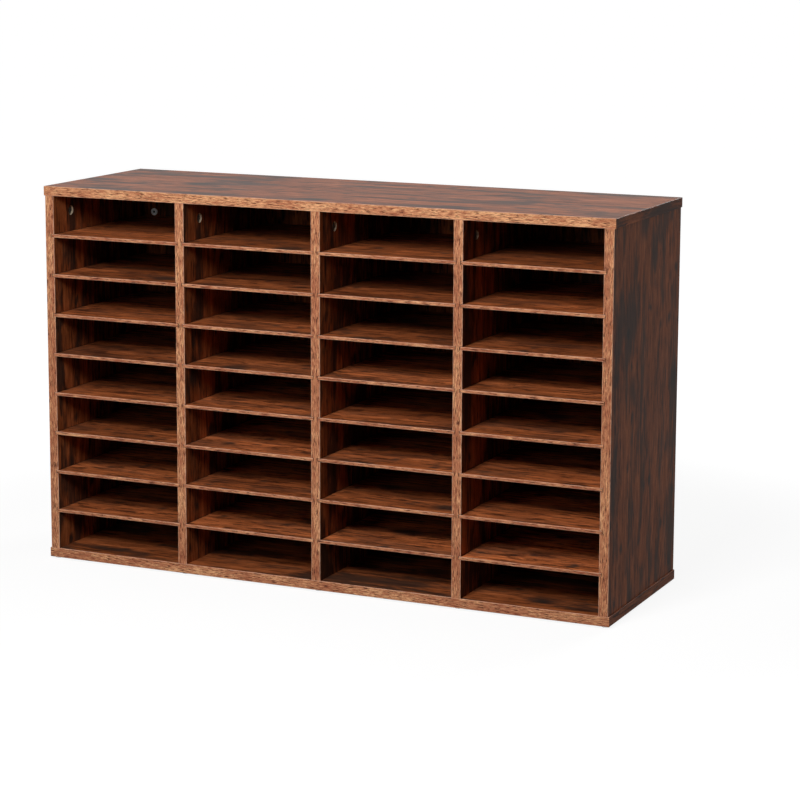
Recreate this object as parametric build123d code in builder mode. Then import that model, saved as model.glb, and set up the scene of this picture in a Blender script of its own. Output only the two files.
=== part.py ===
"""Open mail sorter: a carcass of laminated boards, and thin shelves that slide in its grooved uprights.

Millimetres. The origin is on the floor under the middle of the sorter, +X is to the right as seen from the
front, +Y to the rear and +Z up. A "side" value is -1 for left and 1 for right.
"""

import os

from build123d import *

os.makedirs("parts", exist_ok=True)

# Overall size
overall_width = 950.0
overall_depth = 297.0
overall_height = 600.0

# Carcass boards and the edging strips glued on the cut edges that show
board = 15.0
end_overhang = 2.0  # the top and bottom boards stand out past the sides
edging = 1.0
edging_chamfer = 0.5

# Compartments
columns = 4
rows = 9
top_row_extra = 2.4  # how much higher the top row is than the middle rows
bottom_row_extra = 1.1  # the same for the bottom row

# Loose shelves and the grooves that they slide in
shelf_thickness = 5.0
shelf_chamfer = 0.6
groove_depth = 4.5
shelf_end_gap = 1.0  # left between a shelf's end and the bottom of its groove
shelf_lower_gap = 0.2
shelf_upper_gap = 0.6
shelf_rear_gap = 0.5

# Back panel, held in grooves in the sides, the top and the bottom
back_thickness = 3.0
back_inset = 15.5  # from the rear edges of the carcass to the panel
back_groove_depth = 5.0
back_groove_gap = 0.2
back_edge_gap = 1.0

# Where the fittings stand along the depth of each upright
fitting_setback = 51.0  # from the front and rear edges to the cams and the screws
dowel_spacing = 32.0  # from each of those to its dowel, towards the middle

# Cam locks in the uprights, turned to pull down the bolts that are screwed into the top board
cam_diameter = 14.6
cam_drop = 27.5  # from the top board's underside to the cam's centre
cam_recess = 3.5  # the cam lies this far below the face of the upright
cam_bore_gap = 0.2
cam_bore_floor = 2.0  # board left behind the bore
cam_hollow_diameter = 8.4
cam_slot_angle = 125.0
cam_slot_lead = 35.0  # part of the slot on the far side of the locked bolt
cross_length = 7.0  # driver cross in the cam's face
cross_width = 1.6
cross_depth = 0.5
bolt_thread_diameter = 5.8
bolt_thread_gap = 0.1
bolt_tip_cover = 4.0  # board left above the bolt's thread and above the dowels
bolt_shank_diameter = 6.6
bolt_shank_gap = 0.7
bolt_neck_diameter = 4.0
bolt_head_diameter = 6.0
bolt_head_height = 2.6
bolt_cam_gap = 0.2

# Wooden dowels between the top board and the uprights
dowel_diameter = 8.0
dowel_length = 30.0
dowel_chamfer = 0.8
dowel_gap = 0.1
dowel_end_gap = 0.5

# Countersunk screws through the bottom board
screw_head_diameter = 10.0
screw_shank_diameter = 6.8
screw_core_diameter = 5.0
screw_length = 50.0
screw_point_length = 4.0
screw_gap = 0.1
screw_end_gap = 2.0
screw_socket = 4.0  # across the flats
screw_socket_depth = 2.5

# Stick-on feet under the uprights
foot_height = 3.0
foot_diameter = 12.0
foot_tread_diameter = 9.0
foot_setback = 10.0  # from the front and rear edges to a foot's centre

# Flat-headed cap nuts pressed into the back panel, threaded from behind for the bolts of a wall strap
anchor_head_diameter = 12.0
anchor_head_height = 1.8
anchor_head_chamfer = 0.4
anchor_socket = 4.0  # across the flats
anchor_socket_depth = 1.3
anchor_barrel_diameter = 8.0
anchor_barrel_length = 12.0
anchor_barrel_gap = 0.1
anchor_thread_diameter = 5.0  # core of the thread
anchor_thread_depth = 10.0
anchor_from_side = 20.5  # from a side's inner face to the cap nut
anchor_above_shelf = 1.0  # from the top shelf to the lower edge of the head

# Heights and depths that follow from the sizes
front = -overall_depth / 2
rear = overall_depth / 2
core_front = front + edging
base_z = foot_height
floor_z = base_z + board
ceiling_z = overall_height - board
clear_height = ceiling_z - floor_z
panel_rear = rear - back_inset
panel_front = panel_rear - back_thickness
front_plane = Plane.XZ.offset(-front)

# Uprights, evenly spaced from the left side to the right side
side_x = overall_width / 2 - end_overhang - board / 2
upright_spacing = 2 * side_x / columns
upright_xs = [-side_x + i * upright_spacing for i in range(columns + 1)]
column_xs = [x + upright_spacing / 2 for x in upright_xs[:-1]]
inner_face_x = side_x - board / 2

# Shelves and grooves
shelf_pitch = (clear_height + shelf_thickness - top_row_extra - bottom_row_extra) / rows
first_underside = floor_z + shelf_pitch - shelf_thickness + bottom_row_extra
shelf_undersides = [first_underside + i * shelf_pitch for i in range(rows - 1)]
shelf_width = upright_spacing - board + 2 * (groove_depth - shelf_end_gap)
shelf_depth = panel_front - shelf_rear_gap - front
groove_height = shelf_lower_gap + shelf_thickness + shelf_upper_gap
groove_mid_rise = (shelf_thickness + shelf_upper_gap - shelf_lower_gap) / 2
back_groove_width = back_thickness + 2 * back_groove_gap
panel_mid_y = (panel_front + panel_rear) / 2

# Fittings
fitting_ys = [front + fitting_setback, rear - fitting_setback]
dowel_ys = [fitting_ys[0] + dowel_spacing, fitting_ys[1] - dowel_spacing]
cam_z = ceiling_z - cam_drop
cam_bore_depth = board - cam_bore_floor
thread_in_board = board - bolt_tip_cover
dowel_in_board = board - bolt_tip_cover - dowel_end_gap
dowel_in_upright = dowel_length - dowel_in_board
anchor_x = inner_face_x - anchor_from_side
anchor_z = shelf_undersides[-1] + shelf_thickness + anchor_above_shelf + anchor_head_diameter / 2


def save(piece, name):
    """Name a finished piece and write its file."""
    piece.part.label = name
    export_step(piece.part, f"parts/{name}.step")


def facing_down(x, y, z):
    """A plane that faces the floor, for a hole drilled upwards."""
    return Plane((x, y, z), z_dir=(0, 0, -1))


def cam_plane(x, y, side):
    """A plane on the face of an upright at a cam's centre. Its own X points up, to the top board."""
    return Plane((x + side * board / 2, y, cam_z), x_dir=(0, 0, 1), z_dir=(side, 0, 0))


def cam_side(x):
    """The face of an upright that its cams lie in: the right one, but the inner one on the right side."""
    return -1 if x == upright_xs[-1] else 1


def inner_sides(x):
    """The faces of an upright that look into a column: one on each side, and both on a divider."""
    return [side for side, end_x in ((-1, upright_xs[0]), (1, upright_xs[-1])) if x != end_x]


def groove_places(x):
    """Centres of the shelf grooves of one upright, as seen from the front."""
    offset = (board - groove_depth) / 2
    return [(x + side * offset, z + groove_mid_rise) for side in inner_sides(x) for z in shelf_undersides]


def make_upright(name, x, rear_y):
    """An upright board with its shelf grooves, cam bores and end holes."""
    with BuildPart() as upright:
        with BuildSketch(Plane.XY.offset(floor_z)):
            with Locations((x, (core_front + rear_y) / 2)):
                Rectangle(board, rear_y - core_front)
        extrude(amount=clear_height)
        with BuildSketch(front_plane):
            with Locations(*groove_places(x)):
                Rectangle(groove_depth, groove_height)
        extrude(amount=-overall_depth, mode=Mode.SUBTRACT)
        with Locations(*[cam_plane(x, y, cam_side(x)) for y in fitting_ys]):
            Hole(cam_diameter / 2 + cam_bore_gap, depth=cam_bore_depth)
        with Locations(*[(x, y, ceiling_z) for y in fitting_ys]):
            Hole(bolt_shank_diameter / 2 + bolt_shank_gap, depth=cam_drop)
        with Locations(*[(x, y, ceiling_z) for y in dowel_ys]):
            Hole(dowel_diameter / 2 + dowel_gap, depth=dowel_in_upright + dowel_end_gap)
        with Locations(*[facing_down(x, y, floor_z) for y in fitting_ys]):
            Hole(screw_core_diameter / 2 + screw_gap, depth=screw_length - board + screw_end_gap)
        if rear_y > panel_front:
            # A side runs past the back panel and holds it in a groove down its inner face
            groove_x = x + inner_sides(x)[0] * (board - back_groove_depth) / 2
            with BuildSketch(Plane.XY.offset(floor_z)):
                with Locations((groove_x, panel_mid_y)):
                    Rectangle(back_groove_depth, back_groove_width)
            extrude(amount=clear_height, mode=Mode.SUBTRACT)
    save(upright, name)


# Uprights: two sides the full depth of the carcass, and dividers that end at the back panel
make_upright("left_side", upright_xs[0], rear)
make_upright("right_side", upright_xs[-1], rear)
for number, divider_x in enumerate(upright_xs[1:-1], start=1):
    make_upright(f"divider_{number}", divider_x, panel_front)

# Top board, drilled from below for the cam bolts and the dowels
with BuildPart() as top_board:
    with BuildSketch(Plane.XY.offset(ceiling_z)):
        with Locations((0, (core_front + rear) / 2)):
            Rectangle(overall_width - 2 * edging, rear - core_front)
    extrude(amount=board)
    with BuildSketch(Plane.XY.offset(ceiling_z)):
        with Locations((0, panel_mid_y)):
            Rectangle(2 * (inner_face_x + back_groove_depth), back_groove_width)
    extrude(amount=back_groove_depth, mode=Mode.SUBTRACT)
    with Locations(*[facing_down(x, y, ceiling_z) for x in upright_xs for y in fitting_ys]):
        Hole(bolt_thread_diameter / 2 + bolt_thread_gap, depth=thread_in_board)
    with Locations(*[facing_down(x, y, ceiling_z) for x in upright_xs for y in dowel_ys]):
        Hole(dowel_diameter / 2 + dowel_gap, depth=dowel_in_board + dowel_end_gap)
save(top_board, "top_board")

# Bottom board, countersunk from below for the screws
with BuildPart() as bottom_board:
    with BuildSketch(Plane.XY.offset(base_z)):
        with Locations((0, (core_front + rear) / 2)):
            Rectangle(overall_width - 2 * edging, rear - core_front)
    extrude(amount=board)
    with BuildSketch(Plane.XY.offset(floor_z)):
        with Locations((0, panel_mid_y)):
            Rectangle(2 * (inner_face_x + back_groove_depth), back_groove_width)
    extrude(amount=-back_groove_depth, mode=Mode.SUBTRACT)
    with Locations(*[facing_down(x, y, base_z) for x in upright_xs for y in fitting_ys]):
        CounterSinkHole(
            radius=screw_shank_diameter / 2 + screw_gap,
            counter_sink_radius=screw_head_diameter / 2 + screw_gap,
            depth=board,
            counter_sink_angle=90,
        )
save(bottom_board, "bottom_board")

# Back panel, with a hole for each cap nut
with BuildPart() as back_panel:
    with BuildSketch(Plane.XZ.offset(-panel_front)):
        with Locations((0, (floor_z + ceiling_z) / 2)):
            Rectangle(
                2 * (inner_face_x + back_groove_depth - back_edge_gap),
                clear_height + 2 * (back_groove_depth - back_edge_gap),
            )
        with Locations((-anchor_x, anchor_z), (anchor_x, anchor_z)):
            Circle(anchor_barrel_diameter / 2 + anchor_barrel_gap, mode=Mode.SUBTRACT)
    extrude(amount=-back_thickness)
save(back_panel, "back_panel")

# Edging along the front of the uprights, notched where the shelf grooves run out
with BuildPart() as upright_edgings:
    with BuildSketch(Plane.XY.offset(floor_z)) as upright_strips:
        with Locations(*[(x, front + edging / 2) for x in upright_xs]):
            Rectangle(board, edging)
        chamfer(upright_strips.vertices().group_by(Axis.Y)[0], edging_chamfer)
    extrude(amount=clear_height)
    with BuildSketch(front_plane):
        for upright_x in upright_xs:
            with Locations(*groove_places(upright_x)):
                Rectangle(groove_depth, groove_height)
    extrude(amount=-edging, mode=Mode.SUBTRACT)
save(upright_edgings, "upright_edgings")


def make_board_edgings(name, low_z):
    """The edging of the top or bottom board: one strip along the front and one on each end behind it."""
    with BuildPart() as front_strip:
        with BuildSketch(Plane.YZ.offset(-overall_width / 2)) as front_profile:
            with Locations((front + edging / 2, low_z + board / 2)):
                Rectangle(edging, board)
            chamfer(front_profile.vertices().group_by(Axis.X)[0], edging_chamfer)
        extrude(amount=overall_width)
    save(front_strip, f"{name}_front_edging")
    with BuildPart() as end_strips:
        for side in (-1, 1):
            with BuildSketch(Plane.XZ.offset(-core_front)) as end_profile:
                with Locations((side * (overall_width - edging) / 2, low_z + board / 2)):
                    Rectangle(edging, board)
                outer_corners = end_profile.vertices().sort_by(Axis.X, reverse=side > 0)[:2]
                chamfer(outer_corners, edging_chamfer)
            extrude(amount=core_front - rear)
    save(end_strips, f"{name}_end_edgings")


make_board_edgings("top", ceiling_z)
make_board_edgings("bottom", base_z)

# Loose shelves, numbered by column from the left and by row from the bottom
for column, column_x in enumerate(column_xs, start=1):
    for row, underside in enumerate(shelf_undersides, start=1):
        with BuildPart() as shelf:
            with BuildSketch(Plane.XY.offset(underside)):
                with Locations((column_x, front + shelf_depth / 2)):
                    Rectangle(shelf_width, shelf_depth)
            extrude(amount=shelf_thickness)
            chamfer(shelf.faces().sort_by(Axis.Y)[0].edges().filter_by(Axis.X), shelf_chamfer)
        save(shelf, f"shelf_col{column}_row{row}")

# Cam lock, drawn in the face of an upright: hollow for the bolt's head, with a keyhole slot round its rim
with BuildPart() as cam_lock:
    with BuildSketch(Plane.XY.offset(-cam_recess)):
        Circle(cam_diameter / 2)
    extrude(amount=cam_recess - cam_bore_depth)
    with BuildSketch(Plane.XY.offset(-board / 2)):
        Circle(cam_hollow_diameter / 2)
        with Locations((0, cam_diameter / 2)):
            Rectangle(bolt_head_diameter + 2 * bolt_cam_gap, cam_diameter)
    extrude(amount=bolt_head_diameter / 2 + bolt_cam_gap, both=True, mode=Mode.SUBTRACT)
    with BuildSketch(Plane.XY.offset(-board / 2)):
        with BuildLine():
            slot_sweep = CenterArc((0, 0), cam_diameter, -cam_slot_lead, cam_slot_angle)
            Line((0, 0), slot_sweep @ 0)
            Line((0, 0), slot_sweep @ 1)
        make_face()
    extrude(amount=bolt_neck_diameter / 2 + bolt_cam_gap, both=True, mode=Mode.SUBTRACT)
    with BuildSketch(Plane.XY.offset(-cam_recess)):
        Rectangle(cross_length, cross_width)
        Rectangle(cross_width, cross_length)
    extrude(amount=-cross_depth, mode=Mode.SUBTRACT)

with BuildPart() as cam_locks:
    with Locations(*[cam_plane(x, y, cam_side(x)) for x in upright_xs for y in fitting_ys]):
        add(cam_lock.part)
save(cam_locks, "cam_locks")

# Cam bolt, drawn with its collar at the joint between the top board and an upright
with BuildPart() as cam_bolt:
    head_top = bolt_head_height / 2 - cam_drop
    head_bottom = -bolt_head_height / 2 - cam_drop
    neck_top = cam_diameter / 2 + cam_bore_gap - cam_drop
    with BuildSketch(Plane.XZ):
        with BuildLine():
            Polyline(
                (0, thread_in_board - bolt_thread_gap),
                (bolt_thread_diameter / 2, thread_in_board - bolt_thread_gap),
                (bolt_thread_diameter / 2, 0),
                (bolt_shank_diameter / 2, 0),
                (bolt_shank_diameter / 2, neck_top),
                (bolt_neck_diameter / 2, neck_top),
                (bolt_neck_diameter / 2, head_top),
                (bolt_head_diameter / 2, head_top),
                (bolt_head_diameter / 2, head_bottom),
                (0, head_bottom),
                close=True,
            )
        make_face()
    revolve(axis=Axis.Z)

with BuildPart() as cam_bolts:
    with Locations(*[(x, y, ceiling_z) for x in upright_xs for y in fitting_ys]):
        add(cam_bolt.part)
save(cam_bolts, "cam_bolts")

# Dowel, drawn with the joint between the top board and an upright at the origin
with BuildPart() as dowel:
    with BuildSketch(Plane.XY.offset(-dowel_in_upright)):
        Circle(dowel_diameter / 2)
    extrude(amount=dowel_length)
    chamfer(dowel.edges().filter_by(GeomType.CIRCLE), dowel_chamfer)

with BuildPart() as dowels:
    with Locations(*[(x, y, ceiling_z) for x in upright_xs for y in dowel_ys]):
        add(dowel.part)
save(dowels, "dowels")

# Countersunk screw, drawn with its head at the origin and its point upwards
with BuildPart() as bottom_screw:
    head_depth = (screw_head_diameter - screw_shank_diameter) / 2
    with BuildSketch(Plane.XZ):
        with BuildLine():
            Polyline(
                (0, 0),
                (screw_head_diameter / 2, 0),
                (screw_shank_diameter / 2, head_depth),
                (screw_shank_diameter / 2, board - screw_gap),
                (screw_core_diameter / 2, board - screw_gap),
                (screw_core_diameter / 2, screw_length - screw_point_length),
                (0, screw_length),
                close=True,
            )
        make_face()
    revolve(axis=Axis.Z)
    with BuildSketch():
        RegularPolygon(screw_socket / 2, 6, major_radius=False)
    extrude(amount=screw_socket_depth, mode=Mode.SUBTRACT)

with BuildPart() as bottom_screws:
    with Locations(*[(x, y, base_z) for x in upright_xs for y in fitting_ys]):
        add(bottom_screw.part)
save(bottom_screws, "bottom_screws")

# Foot, a low tapered button drawn on the floor
with BuildPart() as foot:
    with BuildSketch(Plane.XZ):
        with BuildLine():
            Polyline(
                (0, 0),
                (foot_tread_diameter / 2, 0),
                (foot_diameter / 2, foot_height),
                (0, foot_height),
                close=True,
            )
        make_face()
    revolve(axis=Axis.Z)

with BuildPart() as feet:
    with Locations(*[(x, side * (rear - foot_setback)) for x in upright_xs for side in (-1, 1)]):
        add(foot.part)
save(feet, "feet")

# Cap nut, drawn with its head on the front of the back panel and its barrel behind
with BuildPart() as cap_nut:
    with BuildSketch():
        Circle(anchor_head_diameter / 2)
    extrude(amount=anchor_head_height)
    chamfer(cap_nut.edges().group_by(Axis.Z)[-1], anchor_head_chamfer)
    with BuildSketch():
        Circle(anchor_barrel_diameter / 2)
    extrude(amount=-anchor_barrel_length)
    with BuildSketch(Plane.XY.offset(anchor_head_height)):
        RegularPolygon(anchor_socket / 2, 6, major_radius=False)
    extrude(amount=-anchor_socket_depth, mode=Mode.SUBTRACT)
    with Locations(facing_down(0, 0, -anchor_barrel_length)):
        Hole(anchor_thread_diameter / 2, depth=anchor_thread_depth)

with BuildPart() as anchor_cap_nuts:
    with Locations(*[Plane((side * anchor_x, panel_front, anchor_z), z_dir=(0, -1, 0)) for side in (-1, 1)]):
        add(cap_nut.part)
save(anchor_cap_nuts, "anchor_cap_nuts")
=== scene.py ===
"""Finishes, small fittings and a studio stage for an open mail sorter of laminated board.

The file is laid out as an add-on. The property groups hold the sizes and colours, each operator dresses or
makes one kind of piece, and main() runs the operators in order around the loaded frame. Lengths are in
metres, in the frame's own axes: +X to the right, +Y to the rear and +Z up.
"""

import math

import bmesh
import bpy
from bpy.props import FloatProperty, FloatVectorProperty, IntProperty, PointerProperty
from mathutils import Matrix, Vector


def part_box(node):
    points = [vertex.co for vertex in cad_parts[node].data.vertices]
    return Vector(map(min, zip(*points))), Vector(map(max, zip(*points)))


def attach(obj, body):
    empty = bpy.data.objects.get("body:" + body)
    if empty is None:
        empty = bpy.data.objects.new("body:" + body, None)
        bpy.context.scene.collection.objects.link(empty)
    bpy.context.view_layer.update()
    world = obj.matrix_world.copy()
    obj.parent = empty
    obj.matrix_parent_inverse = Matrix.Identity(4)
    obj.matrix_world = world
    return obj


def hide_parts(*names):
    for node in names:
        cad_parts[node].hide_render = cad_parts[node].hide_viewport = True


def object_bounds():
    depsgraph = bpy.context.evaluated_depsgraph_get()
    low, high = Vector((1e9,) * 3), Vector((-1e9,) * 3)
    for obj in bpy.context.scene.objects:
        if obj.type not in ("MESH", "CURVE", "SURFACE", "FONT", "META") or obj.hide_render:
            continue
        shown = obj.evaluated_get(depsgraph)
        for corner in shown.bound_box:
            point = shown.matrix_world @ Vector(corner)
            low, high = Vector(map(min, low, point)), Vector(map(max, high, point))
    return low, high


bl_info = {
    "name": "Mail Sorter Finishes",
    "version": (1, 0, 0),
    "blender": (4, 5, 0),
    "location": "3D View > Sidebar > Mail Sorter",
    "description": "Dresses an open mail sorter in rustic laminate and sets it on a studio stage",
    "category": "Object",
}

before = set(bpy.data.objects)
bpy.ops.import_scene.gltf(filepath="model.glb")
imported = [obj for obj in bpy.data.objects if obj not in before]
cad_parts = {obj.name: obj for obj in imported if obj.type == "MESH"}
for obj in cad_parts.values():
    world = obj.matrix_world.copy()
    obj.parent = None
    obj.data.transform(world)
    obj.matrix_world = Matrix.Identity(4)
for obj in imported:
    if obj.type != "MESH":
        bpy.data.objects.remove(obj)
cad_low, cad_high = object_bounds()

MM = 0.001

# Pieces of the frame by kind
UPRIGHTS = ["left_side", "divider_1", "divider_2", "divider_3", "right_side"]
SHELVES = sorted(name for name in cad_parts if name.startswith("shelf_"))
CARCASS = "carcass"


def middle(node):
    """The middle of a node's box."""
    low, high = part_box(node)
    return (low + high) / 2


def extent(node):
    """The size of a node's box along each axis."""
    low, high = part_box(node)
    return high - low


# Sizes read from the frame
board = extent("top_board").z
upright_xs = [middle(node).x for node in UPRIGHTS]
upright_spacing = upright_xs[1] - upright_xs[0]
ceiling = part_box("top_board")[0].z
shelf_thickness = extent(SHELVES[0]).z
first_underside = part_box("shelf_col1_row1")[0].z
shelf_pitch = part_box("shelf_col1_row2")[0].z - first_underside
front = cad_low.y


def like_pieces(node):
    """The diameter of a node's like pieces, and their axes: two at each upright, front and rear."""
    size = extent(node)
    diameter = size.x - (upright_xs[-1] - upright_xs[0])
    reach = (size.y - diameter) / 2
    return diameter, [(x, side * reach) for x in upright_xs for side in (-1, 1)]


# Node building

def fill(tree, node, inputs):
    """Give a node's inputs their values by name or number, or link them to sockets."""
    for key, value in inputs.items():
        if isinstance(value, bpy.types.NodeSocket):
            tree.links.new(value, node.inputs[key])
        else:
            node.inputs[key].default_value = value


def add(tree, kind, inputs=None, **settings):
    """A new node with its settings and inputs."""
    made = tree.nodes.new("ShaderNode" + kind)
    for name, value in settings.items():
        setattr(made, name, value)
    fill(tree, made, inputs or {})
    return made


def calc(tree, operation, *values):
    """The result of one sum on numbers or sockets."""
    return add(tree, "Math", dict(enumerate(values)), operation=operation).outputs[0]


def weighted(tree, layers, base=0.0):
    """A base plus layers, each times its share."""
    total = base
    for layer, share in layers:
        total = calc(tree, "MULTIPLY_ADD", layer, share, total)
    return total


def off_middle(tree, value):
    """How far a pattern is from its middle level."""
    return calc(tree, "SUBTRACT", value, 0.5)


def fade(tree, value, start, end, depth=1.0):
    """0 before start and depth after end, with a soft step between them. It falls where end is lower."""
    inputs = {"Value": value, "From Min": start, "From Max": end, "To Max": depth}
    return add(tree, "MapRange", inputs, interpolation_type="SMOOTHSTEP").outputs[0]


def tint(tree, mask, plain, painted, blend_type="MIX"):
    """One colour laid over another where the mask is up."""
    inputs = {0: mask, 6: plain, 7: painted}
    return add(tree, "Mix", inputs, data_type="RGBA", blend_type=blend_type).outputs[2]


def shade(tree, tone, level):
    """A colour made lighter or darker all over by a level."""
    return tint(tree, 1.0, tone, level, "MULTIPLY")


def stretch(tree, vector, scale):
    """A vector with its own scale along each axis."""
    return add(tree, "VectorMath", {0: vector, 1: scale}, operation="MULTIPLY").outputs[0]


def moved(tree, vector, shift):
    """A vector plus a shift."""
    return add(tree, "VectorMath", {0: vector, 1: shift}, operation="ADD").outputs[0]


def noise(tree, vector, cells, detail=2.0, roughness=0.5):
    """Noise from 0 to 1, with its own number of cells in a metre along each axis."""
    inputs = {"Vector": stretch(tree, vector, cells), "Scale": 1.0, "Detail": detail, "Roughness": roughness}
    return add(tree, "TexNoise", inputs).outputs[0]


def new_group(name, inputs, outputs):
    """An empty shader node group, its input sockets and its output sockets."""
    group = bpy.data.node_groups.new(name, "ShaderNodeTree")
    for label, kind in inputs:
        group.interface.new_socket(label, in_out="INPUT", socket_type="NodeSocket" + kind)
    for label, kind in outputs:
        group.interface.new_socket(label, in_out="OUTPUT", socket_type="NodeSocket" + kind)
    return group, group.nodes.new("NodeGroupInput").outputs, group.nodes.new("NodeGroupOutput").inputs


def use_group(tree, make, inputs):
    """The outputs of a pattern placed in a tree with its own values. Its group is made the first time."""
    placed = tree.nodes.new("ShaderNodeGroup")
    placed.node_tree = bpy.data.node_groups.get(make.__name__) or make()
    fill(tree, placed, inputs)
    return placed.outputs


def new_material(name):
    """A material with its node tree and its Principled shader."""
    material = bpy.data.materials.new(name)
    material.use_nodes = True
    return material, material.node_tree, material.node_tree.nodes["Principled BSDF"]


def object_place(tree):
    """Object coordinates as one vector."""
    return add(tree, "TexCoord").outputs["Object"]


def coordinates(tree):
    """Object coordinates as one vector, and as X, Y and Z sockets."""
    place = object_place(tree)
    return place, add(tree, "SeparateXYZ", {"Vector": place}).outputs


def ordered(tree, along, across, through):
    """A vector that runs along the grain, across it and through the board."""
    return add(tree, "CombineXYZ", {"X": along, "Y": across, "Z": through}).outputs[0]


def colour(value):
    """A colour with its alpha."""
    return (*value, 1.0)


# Patterns. Their vectors are in metres.

def spots(tree, vector, cells, share, reach):
    """Soft round spots in a share of the cells of a grid: 1 at the middle and 0 beyond the reach."""
    found = add(tree, "TexVoronoi", {"Vector": stretch(tree, vector, cells), "Scale": 1.0}).outputs
    lot = add(tree, "SeparateColor", {"Color": found["Color"]}).outputs[0]
    step = 0.05
    core = 0.3 * reach
    chosen = fade(tree, lot, start=1.0 - share, end=1.0 - share + step)
    return calc(tree, "MULTIPLY", chosen, fade(tree, found["Distance"], start=reach, end=core))


def rustic_grain():
    """Printed rustic wood: streaks along X, smoky patches, flecks and knots. Smoky deepens the patches."""
    group, given, result = new_group(
        "rustic_grain",
        [
            ("Vector", "Vector"),
            ("Light", "Color"),
            ("Middle", "Color"),
            ("Dark", "Color"),
            ("Smoke", "Color"),
            ("Smoky", "Float"),
        ],
        [("Color", "Color"), ("Relief", "Float"), ("Roughness", "Float")],
    )
    # Points through the board are spread apart, so that each board and shelf shows a print of its own
    apart = stretch(group, given["Vector"], (1.0, 1.0, 40.0))
    sway_reach = 20.0 * MM
    sway = noise(group, apart, cells=(4.0, 7.0, 1.0), detail=2.0)
    aside = calc(group, "MULTIPLY_ADD", sway, sway_reach, -sway_reach / 2)
    bent = moved(group, apart, add(group, "CombineXYZ", {"Y": aside}).outputs[0])

    # Four layers add up to a level, which picks a tone from dark to light
    tone = noise(group, bent, cells=(3.5, 20.0, 1.0), detail=3.0, roughness=0.55)
    band = noise(group, bent, cells=(20.0, 80.0, 1.0), detail=5.0, roughness=0.7)
    streak = noise(group, bent, cells=(7.0, 150.0, 1.0), detail=5.0, roughness=0.68)
    fibre = noise(group, bent, cells=(40.0, 800.0, 1.0), detail=3.0, roughness=0.65)
    level = weighted(group, ((tone, 0.18), (band, 0.28), (streak, 0.34), (fibre, 0.2)))
    low_half = tint(group, fade(group, level, start=0.41, end=0.49), given["Dark"], given["Middle"])
    wood = tint(group, fade(group, level, start=0.49, end=0.57), low_half, given["Light"])

    # Smoky patches with ragged rims, and dark flecks
    cloud = noise(group, bent, cells=(6.0, 26.0, 1.0), detail=4.0, roughness=0.6)
    tatter = noise(group, bent, cells=(20.0, 190.0, 1.0), detail=3.0, roughness=0.6)
    rims = ((off_middle(group, streak), 0.35), (off_middle(group, tatter), 0.3))
    smoke = fade(group, weighted(group, rims, base=cloud), start=0.47, end=0.62, depth=given["Smoky"])
    smoked = tint(group, smoke, wood, given["Smoke"])
    flecks = fade(group, tatter, start=0.59, end=0.67, depth=0.85)
    flecked = tint(group, flecks, smoked, given["Dark"])

    # Knots and specks: round spots with torn outlines
    tear_reach = 30.0 * MM
    torn = moved(group, bent, calc(group, "MULTIPLY_ADD", tatter, tear_reach, -tear_reach / 2))
    knots = spots(group, torn, cells=(8.0, 11.0, 1.0), share=0.5, reach=0.3)
    specks = spots(group, torn, cells=(26.0, 40.0, 1.0), share=0.4, reach=0.34)
    mark_depth = 0.85
    marks = calc(group, "MULTIPLY", calc(group, "MAXIMUM", knots, specks), mark_depth)

    group.links.new(tint(group, marks, flecked, given["Smoke"]), result["Color"])
    group.links.new(weighted(group, ((streak, 0.5), (fibre, 0.5))), result["Relief"])
    group.links.new(weighted(group, ((streak, -0.16),), base=0.46), result["Roughness"])
    return group


def edging_grain():
    """Printed edging: a lively gold, tan and rust grain with dark dashes along X. Ripe adds gold."""
    group, given, result = new_group(
        "edging_grain",
        [
            ("Vector", "Vector"),
            ("Ripe", "Float"),
            ("Gold", "Color"),
            ("Tan", "Color"),
            ("Rust", "Color"),
            ("Dash", "Color"),
        ],
        [("Color", "Color"), ("Relief", "Float")],
    )
    zone = noise(group, given["Vector"], cells=(16.0, 70.0, 70.0), detail=3.0, roughness=0.6)
    grain = noise(group, given["Vector"], cells=(80.0, 660.0, 660.0), detail=5.0, roughness=0.75)
    dash = noise(group, given["Vector"], cells=(75.0, 700.0, 700.0), detail=3.0, roughness=0.65)
    level = weighted(group, ((zone, 0.28), (grain, 0.72)), base=given["Ripe"])
    low_half = tint(group, fade(group, level, start=0.4, end=0.5), given["Rust"], given["Tan"])
    body = tint(group, fade(group, level, start=0.5, end=0.6), low_half, given["Gold"])
    dashes = fade(group, dash, start=0.53, end=0.61, depth=0.95)
    group.links.new(tint(group, dashes, body, given["Dash"]), result["Color"])
    group.links.new(grain, result["Relief"])
    return group


def worn_arris():
    """Where an edge is rubbed pale, with a painted highlight along its arris as well: all along it, within
    Width of its arris, but unevenly.
    """
    group, given, result = new_group(
        "worn_arris", [("Vector", "Vector"), ("Depth", "Float"), ("Width", "Float")], [("Mask", "Float")]
    )
    full_share = 0.6
    full = calc(group, "MULTIPLY", given["Width"], full_share)
    edge = fade(group, given["Depth"], start=given["Width"], end=full)
    unevenness = noise(group, given["Vector"], cells=(90.0, 90.0, 90.0), detail=3.0, roughness=0.6)
    group.links.new(calc(group, "MULTIPLY", edge, fade(group, unevenness, start=0.2, end=0.65)), result["Mask"])
    return group


def chipboard():
    """Raw particle board: pressed chips of uneven tone."""
    group, given, result = new_group(
        "chipboard", [("Vector", "Vector"), ("Chip", "Color")], [("Color", "Color")]
    )
    chips_per_metre = 700.0
    chips = add(group, "TexVoronoi", {"Vector": given["Vector"], "Scale": chips_per_metre}).outputs["Color"]
    chip_level = add(group, "SeparateColor", {"Color": chips}).outputs[0]
    dust = noise(group, given["Vector"], cells=(900.0, 900.0, 900.0))
    level = weighted(group, ((dust, 0.4), (chip_level, 0.5)), base=0.3)
    group.links.new(shade(group, given["Chip"], level), result["Color"])
    return group


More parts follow.
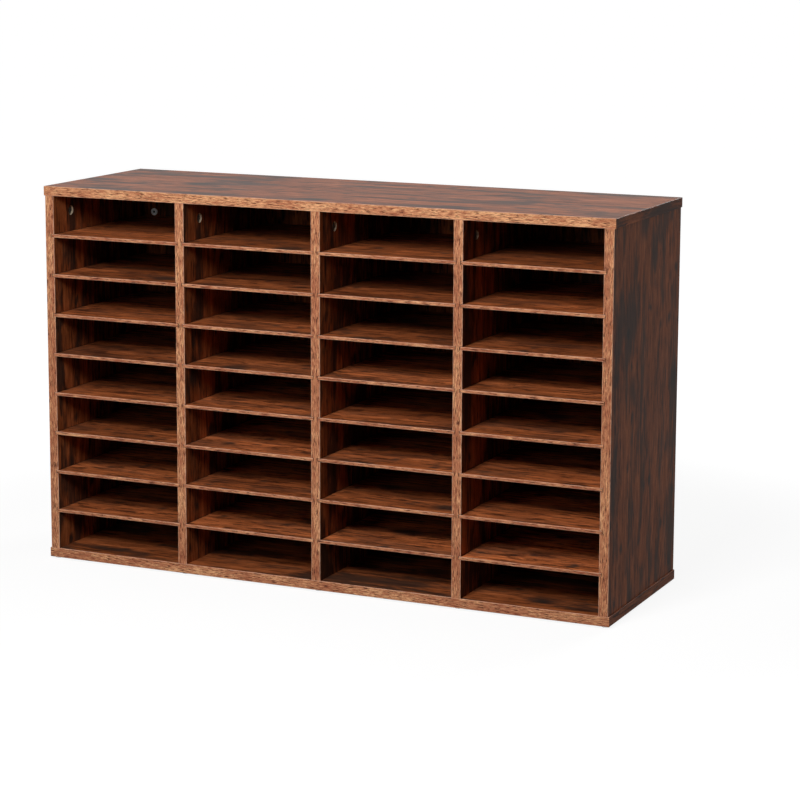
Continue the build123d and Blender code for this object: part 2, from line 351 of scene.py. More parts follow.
def pressed_fibre():
    """Plain fibreboard: a fuzzy felt of short fibres."""
    group, given, result = new_group(
        "pressed_fibre", [("Vector", "Vector"), ("Fibre", "Color")], [("Color", "Color"), ("Relief", "Float")]
    )
    fuzz = noise(group, given["Vector"], cells=(260.0, 260.0, 260.0), detail=4.0, roughness=0.65)
    blotch = noise(group, given["Vector"], cells=(14.0, 14.0, 14.0), detail=3.0)
    level = weighted(group, ((blotch, 0.5), (fuzz, 0.6)), base=0.45)
    group.links.new(shade(group, given["Fibre"], level), result["Color"])
    group.links.new(fuzz, result["Relief"])
    return group


def mottled_metal():
    """Plating or a cast skin: a mottled tone and shine."""
    group, given, result = new_group(
        "mottled_metal",
        [("Vector", "Vector"), ("Tone", "Color"), ("Shine", "Float")],
        [("Color", "Color"), ("Roughness", "Float")],
    )
    mottle = noise(group, given["Vector"], cells=(900.0, 900.0, 900.0), detail=3.0, roughness=0.6)
    level = weighted(group, ((mottle, 0.5),), base=0.72)
    group.links.new(shade(group, given["Tone"], level), result["Color"])
    group.links.new(weighted(group, ((mottle, 0.2),), base=given["Shine"]), result["Roughness"])
    return group


class SorterFinish(bpy.types.PropertyGroup):
    """Colours and finishes of the boards, shelves and edging."""

    light: FloatVectorProperty(
        name="Light Grain", description="Palest streaks of the laminate",
        subtype="COLOR", default=(0.47, 0.138, 0.046),
    )
    middle: FloatVectorProperty(
        name="Middle Grain", description="Main tone of the laminate",
        subtype="COLOR", default=(0.27, 0.074, 0.023),
    )
    dark: FloatVectorProperty(
        name="Dark Grain", description="Dark streaks and flecks of the laminate",
        subtype="COLOR", default=(0.042, 0.012, 0.006),
    )
    smoke: FloatVectorProperty(
        name="Smoke", description="Smoky patches and knots of the laminate",
        subtype="COLOR", default=(0.024, 0.019, 0.016),
    )
    board_smoky: FloatProperty(
        name="Smoke on Boards", description="Depth of the smoky patches on the boards",
        subtype="FACTOR", default=0.85,
    )
    shelf_smoky: FloatProperty(
        name="Smoke on Shelves", description="Depth of the smoky patches on the shelves",
        subtype="FACTOR", default=0.5,
    )
    gold: FloatVectorProperty(
        name="Edging Gold", description="Palest grain of the edging",
        subtype="COLOR", default=(0.8, 0.43, 0.215),
    )
    tan: FloatVectorProperty(
        name="Edging Tan", description="Main tone of the edging",
        subtype="COLOR", default=(0.5, 0.2, 0.1),
    )
    rust: FloatVectorProperty(
        name="Edging Rust", description="Red-brown grain of the edging",
        subtype="COLOR", default=(0.33, 0.1, 0.052),
    )
    dash: FloatVectorProperty(
        name="Edging Dash", description="Dark dashes of the edging",
        subtype="COLOR", default=(0.08, 0.024, 0.016),
    )
    # Partly painted highlight: the pale arris line is rubbed edging and also stands in for the light the
    # arrises catch
    arris: FloatVectorProperty(
        name="Arris", description="Pale line along the arrises of the edging",
        subtype="COLOR", default=(0.66, 0.37, 0.25),
    )
    arris_width: FloatProperty(
        name="Arris Width", description="Width of the pale line",
        subtype="DISTANCE", default=0.9 * MM,
    )
    chip: FloatVectorProperty(
        name="Raw Board", description="Raw particle board in the grooves and bores",
        subtype="COLOR", default=(0.8, 0.65, 0.47),
    )
    hardboard: FloatVectorProperty(
        name="Hardboard", description="Plain rear face of the back panel and raw shelf edges",
        subtype="COLOR", default=(0.26, 0.15, 0.085),
    )
    skin: FloatProperty(
        name="Laminate Skin", description="Thickness of the laminate over the raw board",
        subtype="DISTANCE", default=0.3 * MM,
    )


class SorterFittings(bpy.types.PropertyGroup):
    """Sizes and colours of the small fittings."""

    # Painted shade: the zinc tone is darkened so that the cam faces show as the shadow deep in their bores
    zinc: FloatVectorProperty(
        name="Zinc", description="Cast cam locks", subtype="COLOR", default=(0.1, 0.095, 0.09)
    )
    steel: FloatVectorProperty(
        name="Steel", description="Plated bolts and screws", subtype="COLOR", default=(0.6, 0.6, 0.58)
    )
    nickel: FloatVectorProperty(
        name="Nickel", description="Cap nuts", subtype="COLOR", default=(0.9, 0.9, 0.89)
    )
    # Painted shade: a near-black colour laid in the sockets of the cap nuts, for the shadow in the recess
    grime: FloatVectorProperty(
        name="Painted shade", description="Grime in the sockets of the cap nuts",
        subtype="COLOR", default=(0.02, 0.018, 0.016),
    )
    socket: FloatProperty(
        name="Socket", description="Radius of the socket of a cap nut, at its corners",
        subtype="DISTANCE", default=2.5 * MM,
    )
    foot_dim: FloatVectorProperty(
        name="Foot Dim", description="Bluish haze of the clear feet",
        subtype="COLOR", default=(0.8, 0.86, 0.92),
    )
    foot_pale: FloatVectorProperty(
        name="Foot Pale", description="Palest haze of the clear feet",
        subtype="COLOR", default=(0.92, 0.95, 0.97),
    )
    foot_round: FloatProperty(
        name="Foot Rounding", description="Rounding of a foot's tread", subtype="DISTANCE", default=1.3 * MM
    )
    foot_tread: FloatProperty(
        name="Foot Tread", description="Diameter of a foot at the floor", subtype="DISTANCE", default=9.0 * MM
    )
    beech_dark: FloatVectorProperty(
        name="Beech Dark", description="Dark fibres of the dowels",
        subtype="COLOR", default=(0.5, 0.33, 0.19),
    )
    beech_light: FloatVectorProperty(
        name="Beech Light", description="Pale fibres of the dowels",
        subtype="COLOR", default=(0.72, 0.53, 0.35),
    )
    dowel_flutes: IntProperty(name="Dowel Flutes", description="Flutes round a dowel", default=20)
    dowel_chamfer: FloatProperty(
        name="Dowel Chamfer", description="Chamfer at the ends of a dowel",
        subtype="DISTANCE", default=0.8 * MM,
    )
    screw_core: FloatProperty(
        name="Screw Core", description="Core diameter of the screw thread",
        subtype="DISTANCE", default=5.0 * MM,
    )
    screw_point: FloatProperty(
        name="Screw Point", description="Length of the screw's point", subtype="DISTANCE", default=4.0 * MM
    )
    screw_pitch: FloatProperty(
        name="Screw Pitch", description="Rise of the screw thread in one turn",
        subtype="DISTANCE", default=3.0 * MM,
    )
    bolt_core: FloatProperty(
        name="Bolt Core", description="Diameter of the bolt under its thread",
        subtype="DISTANCE", default=5.8 * MM,
    )
    bolt_pitch: FloatProperty(
        name="Bolt Pitch", description="Rise of the bolt thread in one turn",
        subtype="DISTANCE", default=2.0 * MM,
    )
    thread_height: FloatProperty(
        name="Thread Height", description="How far the screw thread stands out, twice the bolt thread",
        subtype="DISTANCE", default=0.8 * MM,
    )


class SorterStage(bpy.types.PropertyGroup):
    """Camera, lamps and floor."""

    camera_place: FloatVectorProperty(
        name="Camera", description="Where the camera stands",
        subtype="TRANSLATION", default=(1.6634, -3.4805, 1.0320),
    )
    camera_yaw: FloatProperty(
        name="Yaw", description="Turn of the camera to the left of straight back",
        subtype="ANGLE", default=math.radians(24.571),
    )
    camera_pitch: FloatProperty(
        name="Pitch", description="Tilt of the camera above level",
        subtype="ANGLE", default=math.radians(-9.314),
    )
    camera_roll: FloatProperty(
        name="Roll", description="Turn of the camera about its line of sight",
        subtype="ANGLE", default=math.radians(0.21),
    )
    lens: FloatProperty(name="Lens", description="Focal length in millimetres", default=113.07)
    shift: FloatProperty(name="Shift", description="Upward shift of the lens", default=-0.1)
    floor_radius: FloatProperty(
        name="Floor", description="Radius of the floor", subtype="DISTANCE", default=60.0
    )
    paper: FloatVectorProperty(
        name="Paper", description="Tone of the floor under the lamps",
        subtype="COLOR", default=(0.16, 0.16, 0.16),
    )
    ambient: FloatProperty(name="Ambient", description="Strength of the light from all round", default=0.012)
    key_power: FloatProperty(
        name="Key", description="Power of the front lamp", subtype="POWER", default=48.5
    )
    fill_power: FloatProperty(
        name="Fill", description="Power of the low front lamp", subtype="POWER", default=11.0
    )
    top_power: FloatProperty(
        name="Top", description="Power of the lamp overhead", subtype="POWER", default=2.0
    )
    right_power: FloatProperty(
        name="Right", description="Power of the right lamp", subtype="POWER", default=3.3
    )
    left_power: FloatProperty(
        name="Left", description="Power of the left lamp", subtype="POWER", default=8.0
    )
    rear_power: FloatProperty(
        name="Rear", description="Power of the lamp behind", subtype="POWER", default=40.0
    )


def dress(node, material):
    """Give a node of the frame one material."""
    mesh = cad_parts[node].data
    mesh.materials.clear()
    mesh.materials.append(material)


def new_piece(name, bm, material, slot, *nodes):
    """An object of the carcass from a finished bmesh. It stands for the nodes that are named."""
    mesh = bpy.data.meshes.new(name)
    bm.to_mesh(mesh)
    bm.free()
    mesh.materials.append(material)
    piece = bpy.data.objects.new(name, mesh)
    bpy.context.scene.collection.objects.link(piece)
    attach(piece, CARCASS)
    if nodes:
        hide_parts(*nodes)


def repeat(bm, places):
    """Copy the shape in a bmesh to each place, in place of the first one."""
    first = bm.verts[:] + bm.edges[:] + bm.faces[:]
    corners = bm.verts[:]
    for place in places:
        made = bmesh.ops.duplicate(bm, geom=first)["geom"]
        copied = [part for part in made if isinstance(part, bmesh.types.BMVert)]
        bmesh.ops.translate(bm, verts=copied, vec=place)
    bmesh.ops.delete(bm, geom=corners, context="VERTS")


def rim(bm, height):
    """The edges of a turned shape that lie flat at a height."""
    slack = 0.01 * MM
    return [edge for edge in bm.edges if all(abs(vert.co.z - height) < slack for vert in edge.verts)]


def thread_ridge(core, height, pitch, length):
    """The ridge of a screw thread about Z, from 0 up. Its foot is sunk a little into the core."""
    steps_per_turn = 24
    sunk = 0.1 * MM
    half_foot = pitch * 0.3
    steps = int(steps_per_turn * (length - 2 * half_foot) / pitch)
    foot = core / 2 - sunk
    crest = core / 2 + height
    corners = [(foot, 0, 0), (crest, 0, half_foot), (foot, 0, 2 * half_foot)]
    bm = bmesh.new()
    section = bm.faces.new([bm.verts.new(corner) for corner in corners])
    bmesh.ops.spin(
        bm,
        geom=[section, *section.edges, *section.verts],
        cent=(0, 0, 0),
        axis=(0, 0, 1),
        dvec=(0, 0, pitch / steps_per_turn),
        angle=math.tau * steps / steps_per_turn,
        steps=steps,
    )
    bmesh.ops.remove_doubles(bm, verts=bm.verts, dist=0.001 * MM)
    bmesh.ops.recalc_face_normals(bm, faces=bm.faces)
    return bm


def laminate_colours(finish, smoky):
    """The laminate's colours and the depth of its smoky patches, as inputs of the rustic grain."""
    names = ("light", "middle", "dark", "smoke")
    return {name.capitalize(): colour(getattr(finish, name)) for name in names} | {"Smoky": smoky}


def edging_colours(finish, ripe):
    """The edging's colours and its share of gold, as inputs of its grain."""
    names = ("gold", "tan", "rust", "dash")
    return {name.capitalize(): colour(getattr(finish, name)) for name in names} | {"Ripe": ripe}


def finish_shader(tree, shader, tone, relief, depth):
    """Colour and a fine relief on a shader that hardly shines."""
    tree.links.new(tone, shader.inputs["Base Color"])
    bump = add(tree, "Bump", {"Height": relief, "Strength": 0.25, "Distance": depth})
    tree.links.new(bump.outputs[0], shader.inputs["Normal"])
    shader.inputs["Specular IOR Level"].default_value = 0.03


def under_skin(tree, finish, inside):
    """Where a point lies so far inside the faces that the laminate no longer covers it."""
    full_cover = finish.skin * 0.8
    return fade(tree, inside, start=full_cover, end=finish.skin)


def laminate_material(name, finish, order, skin_distance):
    """Rustic laminate over raw board. skin_distance says how far inside the faces a point lies."""
    material, tree, shader = new_material(name)
    place, axes = coordinates(tree)
    line = ordered(tree, *(axes[axis] for axis in order))
    colours = laminate_colours(finish, finish.board_smoky)
    grain = use_group(tree, rustic_grain, {"Vector": line} | colours)
    tree.links.new(grain["Roughness"], shader.inputs["Roughness"])
    tone = grain["Color"]
    if skin_distance:
        core = use_group(tree, chipboard, {"Vector": place, "Chip": colour(finish.chip)})
        raw = under_skin(tree, finish, skin_distance(tree, axes))
        tone = tint(tree, raw, tone, core["Color"])
    finish_shader(tree, shader, tone, grain["Relief"], depth=0.2 * MM)
    return material


def inside_upright(tree, axes):
    """How far a point lies inside the two faces of the nearest upright."""
    offset = calc(tree, "WRAP", axes["X"], upright_spacing / 2, -upright_spacing / 2)
    return calc(tree, "SUBTRACT", board / 2, calc(tree, "ABSOLUTE", offset))


def inside_level_board(node):
    """A measure of how far a point lies inside the upper and lower faces of a level board."""
    height = middle(node).z
    half = extent(node).z / 2

    def measure(tree, axes):
        return calc(tree, "SUBTRACT", half, calc(tree, "ABSOLUTE", calc(tree, "SUBTRACT", axes["Z"], height)))

    return measure


def height_in_rows(tree, axes):
    """The height above a level that lies a quarter of a row under the first shelf."""
    return calc(tree, "SUBTRACT", axes["Z"], first_underside - shelf_pitch / 4)


def inside_shelf(tree, axes):
    """How far a point lies inside the upper and lower faces of its shelf."""
    rise = calc(tree, "WRAP", height_in_rows(tree, axes), shelf_pitch, 0.0)
    from_middle = calc(tree, "SUBTRACT", rise, shelf_pitch / 4 + shelf_thickness / 2)
    return calc(tree, "SUBTRACT", shelf_thickness / 2, calc(tree, "ABSOLUTE", from_middle))


def edging_tone(tree, finish, place, line, inside, ripe):
    """The colour and relief of printed edging, with a pale line along its arrises that is partly rubbed
    edging and partly a painted highlight.
    """
    strip = use_group(tree, edging_grain, {"Vector": line} | edging_colours(finish, ripe))
    pale_arris = use_group(tree, worn_arris, {"Vector": place, "Depth": inside, "Width": finish.arris_width})
    return tint(tree, pale_arris["Mask"], strip["Color"], colour(finish.arris)), strip["Relief"]


class MAILSORTER_OT_boards(bpy.types.Operator):
    """Dress the uprights and the top and bottom boards in laminate"""

    bl_idname = "mail_sorter.boards"
    bl_label = "Boards"

    def execute(self, context):
        finish = context.scene.sorter_finish
        upright = laminate_material("Upright laminate", finish, "ZYX", inside_upright)
        for node in UPRIGHTS:
            dress(node, upright)
        for node in ("top_board", "bottom_board"):
            label = node.replace("_", " ").capitalize() + " laminate"
            dress(node, laminate_material(label, finish, "XYZ", inside_level_board(node)))
        return {"FINISHED"}


class MAILSORTER_OT_back(bpy.types.Operator):
    """Dress the back panel: laminate to the front and plain hardboard to the rear"""

    bl_idname = "mail_sorter.back"
    bl_label = "Back Panel"

    def execute(self, context):
        finish = context.scene.sorter_finish
        material, tree, shader = new_material("Back laminate")
        place, axes = coordinates(tree)
        line = ordered(tree, axes["Z"], axes["X"], axes["Y"])
        colours = laminate_colours(finish, finish.board_smoky)
        grain = use_group(tree, rustic_grain, {"Vector": line} | colours)
        plain = use_group(tree, pressed_fibre, {"Vector": place, "Fibre": colour(finish.hardboard)})
        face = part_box("back_panel")[0].y
        rear = fade(tree, axes["Y"], start=face + finish.skin, end=face + 2 * finish.skin)
        tone = tint(tree, rear, grain["Color"], plain["Color"])
        tree.links.new(grain["Roughness"], shader.inputs["Roughness"])
        finish_shader(tree, shader, tone, plain["Relief"], depth=0.1 * MM)
        dress("back_panel", material)
        return {"FINISHED"}


class MAILSORTER_OT_shelves(bpy.types.Operator):
    """Dress the loose shelves: laminate above and below, edging in front and raw fibreboard elsewhere"""

    bl_idname = "mail_sorter.shelves"
    bl_label = "Shelves"

    def execute(self, context):
        finish = context.scene.sorter_finish
        material, tree, shader = new_material("Shelf laminate")
        place, axes = coordinates(tree)
        inside = inside_shelf(tree, axes)

        # Each column takes its print from another part of the pattern
        column = calc(tree, "FLOOR", calc(tree, "DIVIDE", axes["X"], upright_spacing))
        column_shift = 0.37
        across = calc(tree, "MULTIPLY_ADD", column, column_shift, axes["Y"])
        face_line = ordered(tree, axes["X"], across, axes["Z"])
        edge_line = ordered(tree, axes["X"], axes["Z"], across)
        colours = laminate_colours(finish, finish.shelf_smoky)
        grain = use_group(tree, rustic_grain, {"Vector": face_line} | colours)

        # Each shelf has its own tone, and dark cracks along the grain
        row = calc(tree, "FLOOR", calc(tree, "DIVIDE", height_in_rows(tree, axes), shelf_pitch))
        sheet = add(tree, "CombineXYZ", {"X": column, "Y": row}).outputs[0]
        lot = add(tree, "TexWhiteNoise", {"Vector": sheet}, noise_dimensions="2D").outputs["Value"]
        toned = shade(tree, grain["Color"], weighted(tree, ((lot, 0.6),), base=1.15))
        split = noise(tree, face_line, cells=(22.0, 110.0, 40.0), detail=4.0, roughness=0.7)
        cracks = fade(tree, split, start=0.54, end=0.61, depth=0.8)
        cracked = tint(tree, cracks, toned, colour(finish.dark))

        # Painted shade: a dark line where the shelf enters its grooves, standing in for the shadow in the
        # groove gap
        sunk = inside_upright(tree, axes)
        outer = fade(tree, sunk, start=-1.3 * MM, end=-0.5 * MM)
        inner = fade(tree, sunk, start=1.5 * MM, end=0.7 * MM, depth=0.9)
        groove_shaded = tint(tree, calc(tree, "MULTIPLY", outer, inner), cracked, colour(finish.smoke))

        plain = use_group(tree, pressed_fibre, {"Vector": place, "Fibre": colour(finish.hardboard)})
        faced = tint(tree, under_skin(tree, finish, inside), groove_shaded, plain["Color"])
        edging, _ = edging_tone(tree, finish, place, edge_line, inside, ripe=-0.02)
        in_front = fade(tree, axes["Y"], start=front + 0.7 * MM, end=front + 0.5 * MM)
        tree.links.new(grain["Roughness"], shader.inputs["Roughness"])
        tone = tint(tree, in_front, faced, edging)
        finish_shader(tree, shader, tone, grain["Relief"], depth=0.2 * MM)
        for node in SHELVES:
            dress(node, material)
        return {"FINISHED"}


class MAILSORTER_OT_edging(bpy.types.Operator):
    """Dress the edging strips: a lively print along the fronts, and the laminate's own on the board ends"""

    bl_idname = "mail_sorter.edging"
    bl_label = "Edging"

    def execute(self, context):
        finish = context.scene.sorter_finish
        strips = {
            "top_front_edging": ("XZY", inside_level_board("top_board"), 0.025),
            "bottom_front_edging": ("XZY", inside_level_board("bottom_board"), -0.005),
            "upright_edgings": ("ZXY", inside_upright, -0.005),
        }
        for node, (order, skin_distance, ripe) in strips.items():
            material, tree, shader = new_material(node.replace("_", " ").capitalize())
            place, axes = coordinates(tree)
            line = ordered(tree, *(axes[axis] for axis in order))
            tone, relief = edging_tone(tree, finish, place, line, skin_distance(tree, axes), ripe)
            shader.inputs["Roughness"].default_value = 0.45
            finish_shader(tree, shader, tone, relief, depth=0.1 * MM)
            dress(node, material)
        ends = laminate_material("End edging", finish, "YZX", None)
        for node in ("top_end_edgings", "bottom_end_edgings"):
            dress(node, ends)
        return {"FINISHED"}


def metal_material(name, tone, shine):
    """A plated or cast metal."""
    material, tree, shader = new_material(name)
    inputs = {"Vector": object_place(tree), "Tone": colour(tone), "Shine": shine}
    metal = use_group(tree, mottled_metal, inputs)
    tree.links.new(metal["Color"], shader.inputs["Base Color"])
    tree.links.new(metal["Roughness"], shader.inputs["Roughness"])
    shader.inputs["Metallic"].default_value = 1.0
    return material


class MAILSORTER_OT_cam_locks(bpy.types.Operator):
    """Dress the cam locks in cast zinc, darkened as painted shade for the shadow in their bores"""

    bl_idname = "mail_sorter.cam_locks"
    bl_label = "Cam Locks"

    def execute(self, context):
        # Painted shade: the dark zinc tone stands in for the shadow in the bores
        zinc = metal_material("Cast zinc", context.scene.sorter_fittings.zinc, shine=0.3)
        dress("cam_locks", zinc)
        return {"FINISHED"}


class MAILSORTER_OT_cam_bolts(bpy.types.Operator):
    """Dress the cam bolts and cut the threads that hold them in the top board"""

    bl_idname = "mail_sorter.cam_bolts"
    bl_label = "Cam Bolts"

    def execute(self, context):
        sizes = context.scene.sorter_fittings
        steel = metal_material("Bolt steel", sizes.steel, shine=0.25)
        dress("cam_bolts", steel)
        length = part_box("cam_bolts")[1].z - ceiling
        bm = thread_ridge(sizes.bolt_core, sizes.thread_height / 2, sizes.bolt_pitch, length)
        repeat(bm, [(x, y, ceiling) for x, y in like_pieces("cam_bolts")[1]])
        new_piece("cam_bolt_threads", bm, steel, "bolt_steel")
        return {"FINISHED"}


class MAILSORTER_OT_dowels(bpy.types.Operator):
    """Make the fluted beech dowels"""

    bl_idname = "mail_sorter.dowels"
    bl_label = "Dowels"

    def execute(self, context):
        sizes = context.scene.sorter_fittings
        diameter, axes_of_dowels = like_pieces("dowels")
        length = extent("dowels").z
        sides = 2 * sizes.dowel_flutes
        hollow = 0.93
        bm = bmesh.new()
        bmesh.ops.create_cone(
            bm, cap_ends=True, segments=sides, radius1=diameter / 2, radius2=diameter / 2, depth=length
        )
        step = math.tau / sides
        hollows = [vert for vert in bm.verts if round(math.atan2(vert.co.y, vert.co.x) / step) % 2]
        bmesh.ops.scale(bm, vec=(hollow, hollow, 1.0), verts=hollows)
        bmesh.ops.bevel(
            bm, geom=rim(bm, length / 2) + rim(bm, -length / 2), offset=sizes.dowel_chamfer,
            affect="EDGES", segments=1, profile=0.5, material=-1,
        )
        repeat(bm, [(x, y, middle("dowels").z) for x, y in axes_of_dowels])

        material, tree, shader = new_material("Beech")
        fibre = noise(tree, object_place(tree), cells=(900.0, 900.0, 60.0), detail=3.0)
        tone = tint(tree, fibre, colour(sizes.beech_dark), colour(sizes.beech_light))
        tree.links.new(tone, shader.inputs["Base Color"])
        shader.inputs["Roughness"].default_value = 0.6
        new_piece("fluted_dowels", bm, material, "dowel_beech", "dowels")
        return {"FINISHED"}


class MAILSORTER_OT_bottom_screws(bpy.types.Operator):
    """Dress the screws under the bottom board and cut their threads"""

    bl_idname = "mail_sorter.bottom_screws"
    bl_label = "Bottom Screws"

    def execute(self, context):
        sizes = context.scene.sorter_fittings
        steel = metal_material("Screw steel", sizes.steel, shine=0.25)
        dress("bottom_screws", steel)
        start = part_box("bottom_board")[1].z
        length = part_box("bottom_screws")[1].z - sizes.screw_point - start
        bm = thread_ridge(sizes.screw_core, sizes.thread_height, sizes.screw_pitch, length)
        repeat(bm, [(x, y, start) for x, y in like_pieces("bottom_screws")[1]])
        new_piece("bottom_screw_threads", bm, steel, "screw_steel")
        return {"FINISHED"}


class MAILSORTER_OT_feet(bpy.types.Operator):
    """Make the clear stick-on feet, with a soft round to the tread"""

    bl_idname = "mail_sorter.feet"
    bl_label = "Feet"

    def execute(self, context):
        sizes = context.scene.sorter_fittings
        diameter, axes_of_feet = like_pieces("feet")
        height = extent("feet").z
        bm = bmesh.new()
        bmesh.ops.create_cone(
            bm, cap_ends=True, segments=48, radius1=sizes.foot_tread / 2, radius2=diameter / 2, depth=height
        )
        bmesh.ops.bevel(
            bm, geom=rim(bm, -height / 2), offset=sizes.foot_round,
            affect="EDGES", segments=6, profile=0.5, material=-1,
        )
        flat = 0.99
        for face in bm.faces:
            face.smooth = abs(face.normal.z) < flat
        repeat(bm, [(x, y, height / 2) for x, y in axes_of_feet])

        material, tree, shader = new_material("Clear foot")
        haze = noise(tree, object_place(tree), cells=(300.0, 300.0, 300.0))
        tone = tint(tree, haze, colour(sizes.foot_dim), colour(sizes.foot_pale))
        tree.links.new(tone, shader.inputs["Base Color"])
        tree.links.new(weighted(tree, ((haze, 0.2),), base=0.15), shader.inputs["Roughness"])
        shader.inputs["Transmission Weight"].default_value = 0.6
        shader.inputs["IOR"].default_value = 1.46
        shader.inputs["Alpha"].default_value = 0.35
        new_piece("clear_feet", bm, material, "foot_clear", "feet")
        return {"FINISHED"}


class MAILSORTER_OT_cap_nuts(bpy.types.Operator):
    """Dress the cap nuts in the back panel, with painted shade in their sockets"""

    bl_idname = "mail_sorter.cap_nuts"
    bl_label = "Cap Nuts"

    def execute(self, context):
        sizes = context.scene.sorter_fittings
        low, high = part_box("anchor_cap_nuts")
        radius = (high.z - low.z) / 2
        material = metal_material("Cap nut nickel", sizes.nickel, shine=0.55)
        tree = material.node_tree
        base = tree.nodes["Principled BSDF"].inputs["Base Color"]
        _, axes = coordinates(tree)
        # Painted shade: the socket is painted near black, more so deeper in the head, for the shadow in the
        # recess
        beside = calc(tree, "SUBTRACT", calc(tree, "ABSOLUTE", axes["X"]), high.x - radius)
        above = calc(tree, "SUBTRACT", axes["Z"], low.z + radius)
        off_axis = add(tree, "CombineXYZ", {"X": beside, "Y": above}).outputs[0]
        reach = add(tree, "VectorMath", {0: off_axis}, operation="LENGTH").outputs["Value"]
        within = fade(tree, reach, start=sizes.socket, end=0.9 * sizes.socket)
        sunk = fade(tree, axes["Y"], start=low.y + 0.1 * MM, end=low.y + 0.4 * MM, depth=0.95)
        grime = calc(tree, "MULTIPLY", within, sunk)
        tree.links.new(tint(tree, grime, base.links[0].from_socket, colour(sizes.grime)), base)
        dress("anchor_cap_nuts", material)
        return {"FINISHED"}


# The stage. A lamp has a name, a place, an aim, a width, a height and the property that holds its power.
LAMPS = (
    ("key_lamp", (0.1, -2.05, 1.62), (0.0, -0.15, 0.35), 0.8, 0.75, "key_power"),
    ("fill_lamp", (-0.9, -3.0, 1.0), (0.0, -0.15, 0.4), 1.0, 0.6, "fill_power"),
    ("top_lamp", (0.0, -0.2, 2.2), (0.0, 0.0, 0.6), 1.6, 1.2, "top_power"),
    ("right_lamp", (2.6, 0.6, 1.0), (0.47, 0.0, 0.3), 1.2, 1.2, "right_power"),
    ("left_lamp", (-2.6, 0.6, 1.0), (-0.47, 0.0, 0.3), 1.2, 1.2, "left_power"),
    ("rear_lamp", (1.0, 2.8, 1.7), (0.0, 0.15, 0.3), 1.2, 1.2, "rear_power"),
)


def seen_rays(tree, mirrored):
    """1 for what the camera sees straight or through glass, and mirrored for what it sees reflected."""
    path = add(tree, "LightPath").outputs
    reflected = calc(tree, "MULTIPLY", path["Is Glossy Ray"], mirrored)
    direct = calc(tree, "MAXIMUM", path["Is Camera Ray"], reflected)
    return calc(tree, "MAXIMUM", direct, path["Is Transmission Ray"])


def area_lamp(name, place, aim, width, height, power):
    """A soft rectangular lamp that points at a place."""
    lamp = bpy.data.lights.new(name, "AREA")
    lamp.shape = "RECTANGLE"
    lamp.size = width
    lamp.size_y = height
    lamp.energy = power
    made = bpy.data.objects.new(name, lamp)
    made.location = place
    made.rotation_euler = (Vector(aim) - Vector(place)).to_track_quat("-Z", "Y").to_euler()
    bpy.context.scene.collection.objects.link(made)


def make_floor(radius, tone):
    """A pale paper floor, lifted to white for the eye, that keeps the shadow of what stands on it."""
    bm = bmesh.new()
    bmesh.ops.create_circle(bm, cap_ends=True, radius=radius, segments=64)
    mesh = bpy.data.meshes.new("studio_floor")
    bm.to_mesh(mesh)
    bm.free()
    floor = bpy.data.objects.new("studio_floor", mesh)
    bpy.context.scene.collection.objects.link(floor)
    paper, tree, shader = new_material("Studio paper")
    shader.inputs["Base Color"].default_value = colour(tone)
    shader.inputs["Roughness"].default_value = 0.9
    shader.inputs["Specular IOR Level"].default_value = 0.0
    # The lift is a little weaker near the object, so that its shadow shows
    near_lift = 0.88
    reach = add(tree, "VectorMath", {0: object_place(tree)}, operation="LENGTH").outputs["Value"]
    far = fade(tree, reach, start=0.7, end=1.4, depth=1.0 - near_lift)
    lift = calc(tree, "ADD", far, near_lift)
    glow = add(tree, "Emission", {"Strength": calc(tree, "MULTIPLY", seen_rays(tree, mirrored=0.5), lift)})
    both = add(tree, "AddShader", {0: shader.outputs[0], 1: glow.outputs[0]})
    tree.links.new(both.outputs[0], tree.nodes["Material Output"].inputs["Surface"])
    mesh.materials.append(paper)


def make_world(ambient):
    """A world that is white to the eye and gives a little light from all round."""
    world = bpy.data.worlds.new("Studio")
    world.use_nodes = True
    tree = world.node_tree
    background = tree.nodes["Background"]
    background.inputs["Color"].default_value = (1.0, 1.0, 1.0, 1.0)
    strength = calc(tree, "MULTIPLY_ADD", seen_rays(tree, mirrored=1.0), 1.0 - ambient, ambient)
    tree.links.new(strength, background.inputs["Strength"])
    bpy.context.scene.world = world


def make_camera(scene, stage):
    """The camera, turned by its yaw, pitch and roll."""
    camera = bpy.data.cameras.new("camera")
    camera.sensor_fit = "HORIZONTAL"
    camera.lens = stage.lens
    camera.shift_y = stage.shift
    stand = bpy.data.objects.new("camera", camera)
    yaw = Matrix.Rotation(stage.camera_yaw, 4, "Z")
    pitch = Matrix.Rotation(math.pi / 2 + stage.camera_pitch, 4, "X")
    roll = Matrix.Rotation(stage.camera_roll, 4, "Z")
    stand.matrix_world = Matrix.Translation(stage.camera_place) @ yaw @ pitch @ roll
    scene.collection.objects.link(stand)
    scene.camera = stand


class MAILSORTER_OT_stage(bpy.types.Operator):
    """Make the floor, the lamps, the world and the camera"""

    bl_idname = "mail_sorter.stage"
    bl_label = "Stage"

    def execute(self, context):
        scene = context.scene
        stage = scene.sorter_stage
        scene.view_settings.view_transform = "Standard"
        make_floor(stage.floor_radius, stage.paper)
        make_world(stage.ambient)
        for name, place, aim, width, height, power in LAMPS:
            area_lamp(name, place, aim, width, height, getattr(stage, power))
        make_camera(scene, stage)
        return {"FINISHED"}


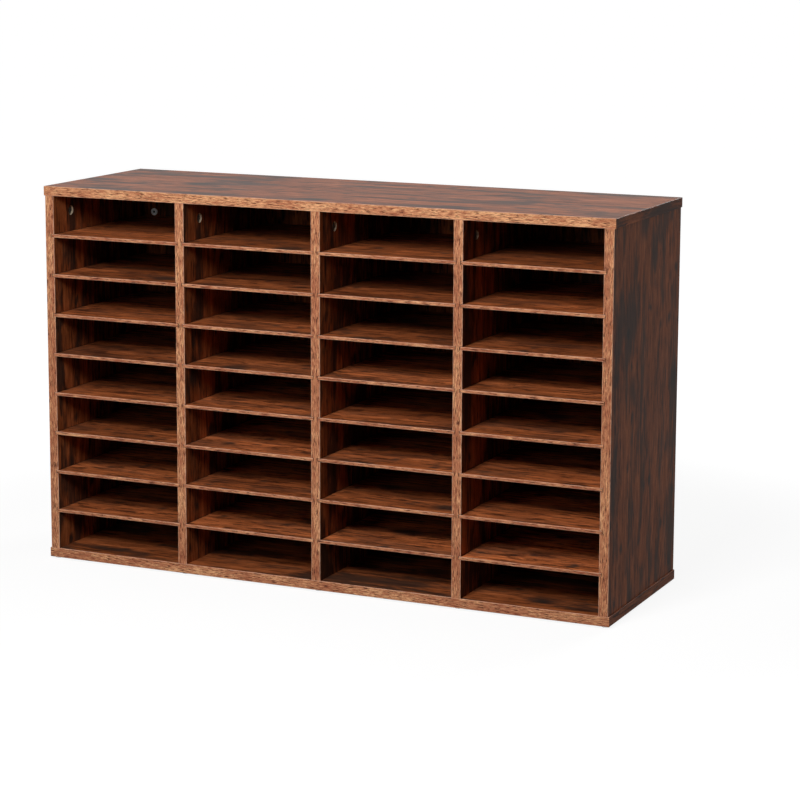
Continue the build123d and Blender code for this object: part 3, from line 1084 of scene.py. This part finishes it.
class MAILSORTER_PT_panel(bpy.types.Panel):
    """The sorter's finishes and operators in the sidebar"""

    bl_label = "Mail Sorter"
    bl_idname = "MAILSORTER_PT_panel"
    bl_space_type = "VIEW_3D"
    bl_region_type = "UI"
    bl_category = "Mail Sorter"

    def draw(self, context):
        scene = context.scene
        for settings in (scene.sorter_finish, scene.sorter_fittings, scene.sorter_stage):
            box = self.layout.box()
            for name in settings.__annotations__:
                box.prop(settings, name)
        for operator in OPERATORS:
            self.layout.operator(operator.bl_idname)


OPERATORS = (
    MAILSORTER_OT_boards,
    MAILSORTER_OT_back,
    MAILSORTER_OT_shelves,
    MAILSORTER_OT_edging,
    MAILSORTER_OT_cam_locks,
    MAILSORTER_OT_cam_bolts,
    MAILSORTER_OT_dowels,
    MAILSORTER_OT_bottom_screws,
    MAILSORTER_OT_feet,
    MAILSORTER_OT_cap_nuts,
    MAILSORTER_OT_stage,
)
CLASSES = (SorterFinish, SorterFittings, SorterStage, *OPERATORS, MAILSORTER_PT_panel)


def register():
    for kind in CLASSES:
        bpy.utils.register_class(kind)
    bpy.types.Scene.sorter_finish = PointerProperty(type=SorterFinish)
    bpy.types.Scene.sorter_fittings = PointerProperty(type=SorterFittings)
    bpy.types.Scene.sorter_stage = PointerProperty(type=SorterStage)


def unregister():
    del bpy.types.Scene.sorter_stage
    del bpy.types.Scene.sorter_fittings
    del bpy.types.Scene.sorter_finish
    for kind in reversed(CLASSES):
        bpy.utils.unregister_class(kind)


def main():
    """Dress the sorter and set the stage."""
    register()
    bpy.ops.mail_sorter.boards()
    bpy.ops.mail_sorter.back()
    bpy.ops.mail_sorter.shelves()
    bpy.ops.mail_sorter.edging()
    bpy.ops.mail_sorter.cam_locks()
    bpy.ops.mail_sorter.cam_bolts()
    bpy.ops.mail_sorter.dowels()
    bpy.ops.mail_sorter.bottom_screws()
    bpy.ops.mail_sorter.feet()
    bpy.ops.mail_sorter.cap_nuts()
    bpy.ops.mail_sorter.stage()


if __name__ == "__main__":
    main()
